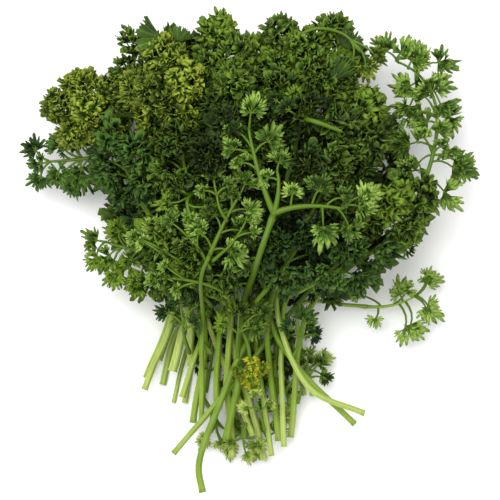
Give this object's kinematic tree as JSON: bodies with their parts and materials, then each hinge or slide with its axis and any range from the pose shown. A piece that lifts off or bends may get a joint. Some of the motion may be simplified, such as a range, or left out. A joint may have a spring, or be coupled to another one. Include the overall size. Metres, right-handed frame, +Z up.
{
  "type": "bunch of curly parsley",
  "caption": "Cut bunch of curly parsley lying on its side: leafy stems gathered at the waist, ruffled fronds in a dense crown, cut stalks splayed below.",
  "frame": {"origin": "bottom centre of the bunch's bounding box, on the table that it lies on", "axes": "+Y from the cut ends of the stalks to the leafy crown, +Z up from the table, +X to the right as seen from above with the crown at the top"},
  "size_m": [0.243, 0.2641, 0.0881],
  "materials": {
    "stem": "satin",
    "leaf_green": "matte",
    "leaf_yellow_green": "matte",
    "leaf_blue_green": "matte",
    "leaf_light_green": "matte",
    "leaf_young": "matte",
    "leaf_old": "matte"
  },
  "bodies": {
    "root": {"leaf_01": "leaf_yellow_green", "leaf_02": "leaf_blue_green", "leaf_03": "leaf_green", "leaf_04": "leaf_green", "leaf_05": "leaf_yellow_green", "leaf_06": "leaf_green", "leaf_07": "leaf_green", "leaf_08": "leaf_green", "leaf_09": "leaf_green", "leaf_10": "leaf_green", "leaf_11": "leaf_blue_green", "leaf_12": "leaf_green", "leaf_13": "leaf_green", "leaf_14": "leaf_green", "leaf_15": "leaf_green", "leaf_16": "leaf_blue_green", "leaf_17": "leaf_blue_green", "leaf_18": "leaf_green", "leaf_19": "leaf_light_green", "leaf_20": "leaf_light_green", "leaf_21": "leaf_light_green", "leaf_22": "leaf_light_green", "leaf_23": "leaf_green", "leaf_24": "leaf_green", "leaf_25": "leaf_green", "leaf_26": "leaf_green", "leaf_27": "leaf_green", "old_leaf": "leaf_old", "stem_01": "stem", "stem_02": "stem", "stem_03": "stem", "stem_04": "stem", "stem_05": "stem", "stem_06": "stem", "stem_07": "stem", "stem_08": "stem", "stem_09": "stem", "stem_10": "stem", "stem_11": "stem", "stem_12": "stem", "stem_13": "stem", "stem_14": "stem", "stem_15": "stem", "stem_16": "stem", "stem_17": "stem", "stem_18": "stem", "stem_19": "stem", "stem_20": "stem", "stem_21": "stem", "stem_22": "stem", "stem_23": "stem", "stem_24": "stem", "stem_25": "stem", "stem_26": "stem", "stem_27": "stem", "young_leaf_01": "leaf_green", "young_leaf_02": "leaf_young", "young_leaf_03": "leaf_young"}
  },
  "joints": []
}
